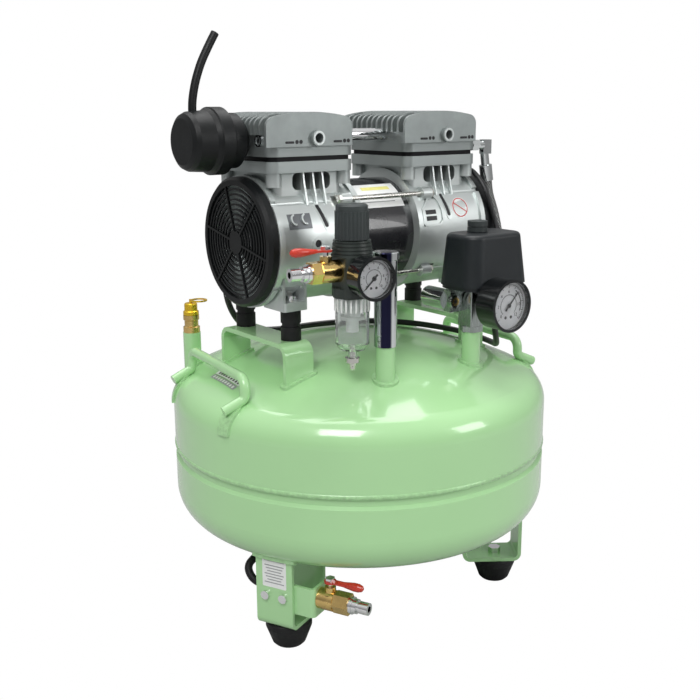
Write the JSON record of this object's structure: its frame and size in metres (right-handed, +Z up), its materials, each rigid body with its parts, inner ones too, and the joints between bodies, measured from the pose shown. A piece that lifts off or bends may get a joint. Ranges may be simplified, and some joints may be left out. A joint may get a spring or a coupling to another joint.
{
  "type": "oil-free air compressor",
  "caption": "Silent oil-free air compressor: a twin-head piston motor over a low round tank on legs, with regulator, gauges, pressure switch, valves and handles.",
  "frame": {"origin": "on the floor under the axis of the tank", "axes": "+Z up, -Y towards the gauges and valves, +X along the motor away from the intake silencer"},
  "size_m": [0.4077, 0.4018, 0.595],
  "materials": {
    "tank_paint": "gloss light green",
    "weld_paint": "gloss light green over the weld",
    "cast_alloy": "fine cast, satin",
    "head_alloy": "cast, satin grey",
    "plate_alloy": "dark machined",
    "sleeve_alloy": "hard anodised bore",
    "black_plastic": "matt black",
    "knob_plastic": "matt dark grey",
    "grey_plastic": "satin dark grey",
    "clear_plastic": "clear moulded plastic",
    "lens_plastic": "clear",
    "white_plastic": "sintered white",
    "switch_body": "satin grey-green",
    "mount_rubber": "matt",
    "foot_rubber": "matt",
    "hose_rubber": "matt",
    "cable_jacket": "satin",
    "braided_hose": "braided wire",
    "motor_black": "gloss black",
    "copper_wire": "enamelled copper",
    "silicon_steel": "laminated",
    "bright_steel": "ground",
    "zinc_steel": "zinc plated",
    "chrome_fittings": "plated",
    "brass_fittings": "machined",
    "lever_red": "red dipped vinyl",
    "dial_card": "white",
    "needle_black": "matt black",
    "filter_foam": "felt",
    "safety_gold": "gold anodised"
  },
  "bodies": {
    "frame": {"bowl_filter": "white_plastic", "crankcase_left": "cast_alloy", "crankcase_right": "cast_alloy", "cylinder_sleeves": "sleeve_alloy", "discharge_hose": "braided_hose", "drain_hose": "hose_rubber", "fan_covers": "black_plastic", "gauge_cases": "black_plastic", "gauge_dials": "dial_card", "gauge_lenses": "lens_plastic", "head_covers": "head_alloy", "intake_snorkel": "black_plastic", "leg_straps": "tank_paint", "lift_handles": "tank_paint", "manifold": "switch_body", "motor_brackets": "tank_paint", "motor_lead": "cable_jacket", "pipe_fittings": "chrome_fittings", "quick_nipples": "chrome_fittings", "regulator_body": "grey_plastic", "regulator_bowl": "clear_plastic", "rubber_feet": "foot_rubber", "safety_valve_body": "brass_fittings", "screws": "zinc_steel", "shaft_bearings": "bright_steel", "silencer_cap": "black_plastic", "silencer_element": "filter_foam", "silencer_housing": "black_plastic", "stator_core": "motor_black", "stator_windings": "copper_wire", "switch_base": "grey_plastic", "switch_cable": "cable_jacket", "switch_cover": "black_plastic", "tank_lower_shell": "tank_paint", "tank_ports": "tank_paint", "tank_upper_shell": "tank_paint", "tie_rods": "zinc_steel", "transfer_pipe": "zinc_steel", "valve_bodies": "brass_fittings", "valve_plates": "plate_alloy", "vibration_mounts": "mount_rubber", "weld_beads": "weld_paint"},
    "shaft": {"motor_shaft": "bright_steel", "rotor_core": "silicon_steel", "cooling_fans": "black_plastic", "eccentrics": "bright_steel"},
    "rod_left": {"connecting_rod_left": "cast_alloy"},
    "rod_right": {"connecting_rod_right": "cast_alloy"},
    "piston_left": {"piston_left": "bright_steel"},
    "piston_right": {"piston_right": "bright_steel"},
    "outlet_valve": {"outlet_valve_ball": "chrome_fittings", "outlet_valve_lever": "lever_red"},
    "drain_valve": {"drain_valve_ball": "chrome_fittings", "drain_valve_lever": "lever_red"},
    "regulator_knob": {"regulator_knob": "knob_plastic"},
    "switch_knob": {"switch_knob": "knob_plastic"},
    "safety_cap": {"safety_valve_cap": "safety_gold"},
    "outlet_needle": {"outlet_gauge_needle": "needle_black"},
    "tank_needle": {"tank_gauge_needle": "needle_black"},
    "bowl_drain": {"bowl_drain": "zinc_steel"}
  },
  "joints": [
    {"name": "shaft_turn", "type": "hinge", "parent": "frame", "child": "shaft", "pos_m": [-0.004, 0, 0.4], "axis": [1, 0, 0], "continuous": true},
    {"name": "rod_left_turn", "type": "hinge", "parent": "shaft", "child": "rod_left", "pos_m": [-0.0888, 0, 0.408], "axis": [1, 0, 0], "continuous": true},
    {"name": "rod_right_turn", "type": "hinge", "parent": "shaft", "child": "rod_right", "pos_m": [0.0754, 0, 0.392], "axis": [1, 0, 0], "continuous": true},
    {"name": "piston_left_slide", "type": "slide", "parent": "frame", "child": "piston_left", "axis": [0, 0, 1], "range_m": [-0.016, 0]},
    {"name": "piston_right_slide", "type": "slide", "parent": "frame", "child": "piston_right", "axis": [0, 0, 1], "range_m": [0, 0.016]},
    {"name": "outlet_valve_turn", "type": "hinge", "parent": "frame", "child": "outlet_valve", "pos_m": [-0.12052, -0.1082, 0.382], "axis": [0, 0, 1], "range_deg": [0, 90]},
    {"name": "drain_valve_turn", "type": "hinge", "parent": "frame", "child": "drain_valve", "pos_m": [-0.12672, -0.11867, 0.063], "axis": [0, 0, 1], "range_deg": [-90, 0]},
    {"name": "regulator_knob_turn", "type": "hinge", "parent": "frame", "child": "regulator_knob", "pos_m": [-0.09323, -0.11155, 0.41], "axis": [0, 0, 1], "range_deg": [-720, 720]},
    {"name": "switch_knob_lift", "type": "slide", "parent": "frame", "child": "switch_knob", "axis": [0, 0, 1], "range_m": [0, 0.006]},
    {"name": "safety_cap_lift", "type": "slide", "parent": "frame", "child": "safety_cap", "axis": [0, 0, 1], "range_m": [0, 0.002], "stiffness_N_per_m": 3000, "springref_m": -0.002},
    {"name": "outlet_needle_turn", "type": "hinge", "parent": "frame", "child": "outlet_needle", "pos_m": [-0.09853, -0.15473, 0.379], "axis": [0.1219, 0.9925, 0], "range_deg": [0, 270]},
    {"name": "tank_needle_turn", "type": "hinge", "parent": "frame", "child": "tank_needle", "pos_m": [0.055, -0.173, 0.3385], "axis": [0, 1, 0], "range_deg": [-180, 90]},
    {"name": "bowl_drain_turn", "type": "hinge", "parent": "frame", "child": "bowl_drain", "pos_m": [-0.09323, -0.11155, 0.3], "axis": [0, 0, 1], "range_deg": [0, 180]}
  ],
  "couplings": [
    {"joint": "rod_left_turn", "follows": "shaft_turn", "ratio": -1},
    {"joint": "rod_right_turn", "follows": "shaft_turn", "ratio": -1}
  ]
}
